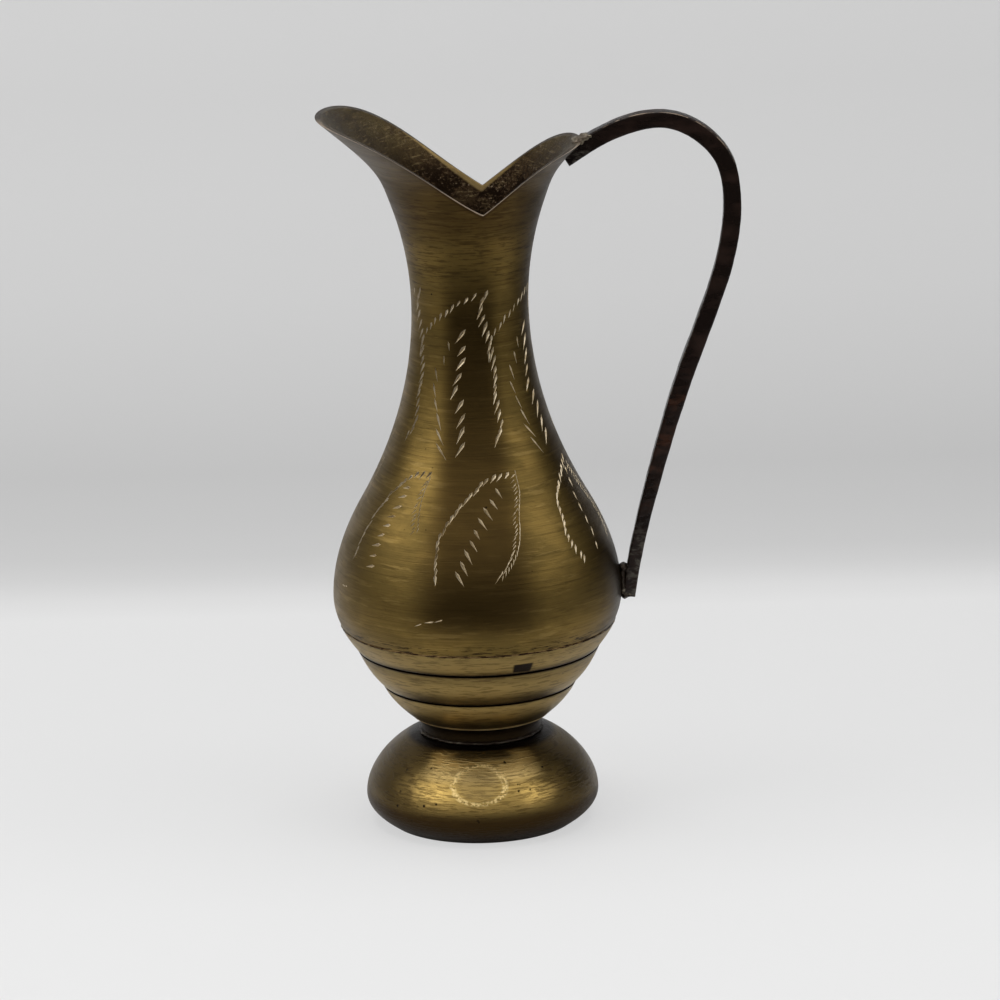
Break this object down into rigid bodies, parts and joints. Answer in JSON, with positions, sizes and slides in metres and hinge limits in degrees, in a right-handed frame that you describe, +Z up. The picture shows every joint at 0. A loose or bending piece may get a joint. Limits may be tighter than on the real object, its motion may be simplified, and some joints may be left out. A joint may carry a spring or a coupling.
{
  "type": "bud vase",
  "caption": "Small brass bud vase shaped like an ewer, with a pear body, a stepped bowl, a bell foot, a flared mouth cut into two lobes and a tall bent bar handle.",
  "frame": {"origin": "centre of the bounding box's base, on the surface that the foot stands on", "axes": "+Z up, +X towards the handle, -X towards the long spout lobe, -Y towards the viewer of the picture"},
  "size_m": [0.0865, 0.06, 0.1499],
  "materials": {
    "brass_worn": "dull olive-brown patina over fine turning scratches, satin",
    "brass_bright": "brighter golden brass, worn smooth, with a few pits",
    "bar_dark": "near-black brown tarnish with reddish patches, slightly lumpy",
    "braze_pale": "pale rough braze with pits",
    "solder_grey": "grey-black lumpy solder and flux"
  },
  "bodies": {
    "root": {"upper_body": "brass_worn", "lower_bowl": "brass_worn", "foot": "brass_bright", "handle": "bar_dark", "belly_seam_braze": "braze_pale", "foot_braze_ring": "solder_grey", "handle_lip_braze": "braze_pale", "handle_belly_braze": "solder_grey"}
  },
  "joints": []
}
